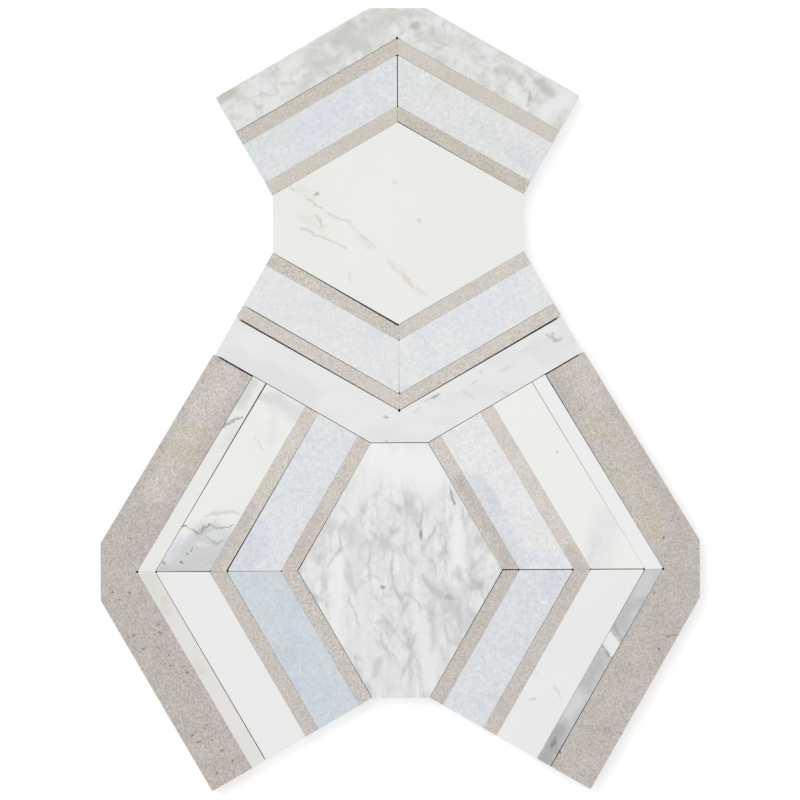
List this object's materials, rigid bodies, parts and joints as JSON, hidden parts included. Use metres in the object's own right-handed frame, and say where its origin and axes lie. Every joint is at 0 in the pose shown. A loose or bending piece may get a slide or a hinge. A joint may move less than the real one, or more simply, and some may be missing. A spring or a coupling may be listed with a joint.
{
  "type": "marble mosaic sheet",
  "caption": "Interlocking stone mosaic sheet: long hexagons framed by mitred taupe, blue and white marble strips and chevrons on a mesh back.",
  "frame": {"origin": "centre of the sheet's outline on its back, which lies on the floor", "axes": "+Y up the pattern, from the side noses to the top nose; +Z out of the stones' face"},
  "size_m": [0.3, 0.3918, 0.01],
  "materials": {
    "cream_marble": "honed",
    "veined_marble": "honed",
    "cloudy_marble": "honed",
    "pale_marble": "honed",
    "white_marble": "honed",
    "grey_marble": "honed",
    "blue_marble": "honed",
    "taupe_limestone": "honed",
    "taupe_point_stone": "honed",
    "mesh_yarn": "woven"
  },
  "bodies": {
    "root": {"left_lower_blue": "blue_marble", "left_lower_inner_taupe": "taupe_limestone", "left_lower_narrow_white": "white_marble", "left_lower_outer_taupe": "taupe_limestone", "left_lower_wide_white": "white_marble", "left_point": "taupe_point_stone", "left_upper_blue": "blue_marble", "left_upper_inner_taupe": "taupe_limestone", "left_upper_narrow_white": "white_marble", "left_upper_outer_taupe": "taupe_limestone", "left_upper_wide_white": "white_marble", "lower_hexagon": "veined_marble", "mesh_backing": "mesh_yarn", "right_lower_blue": "blue_marble", "right_lower_inner_taupe": "taupe_limestone", "right_lower_narrow_white": "grey_marble", "right_lower_outer_taupe": "taupe_limestone", "right_lower_wide_white": "white_marble", "right_point": "taupe_point_stone", "right_upper_blue": "blue_marble", "right_upper_inner_taupe": "taupe_limestone", "right_upper_narrow_white": "white_marble", "right_upper_outer_taupe": "taupe_limestone", "right_upper_wide_white": "white_marble", "top_chevron": "cloudy_marble", "top_left_blue": "blue_marble", "top_left_inner_taupe": "taupe_limestone", "top_left_outer_taupe": "taupe_limestone", "top_right_blue": "blue_marble", "top_right_inner_taupe": "taupe_limestone", "top_right_outer_taupe": "taupe_limestone", "upper_hexagon": "cream_marble", "waist_chevron": "pale_marble", "waist_left_blue": "blue_marble", "waist_left_inner_taupe": "taupe_limestone", "waist_left_outer_taupe": "taupe_limestone", "waist_right_blue": "blue_marble", "waist_right_inner_taupe": "taupe_limestone", "waist_right_outer_taupe": "taupe_limestone"}
  },
  "joints": []
}
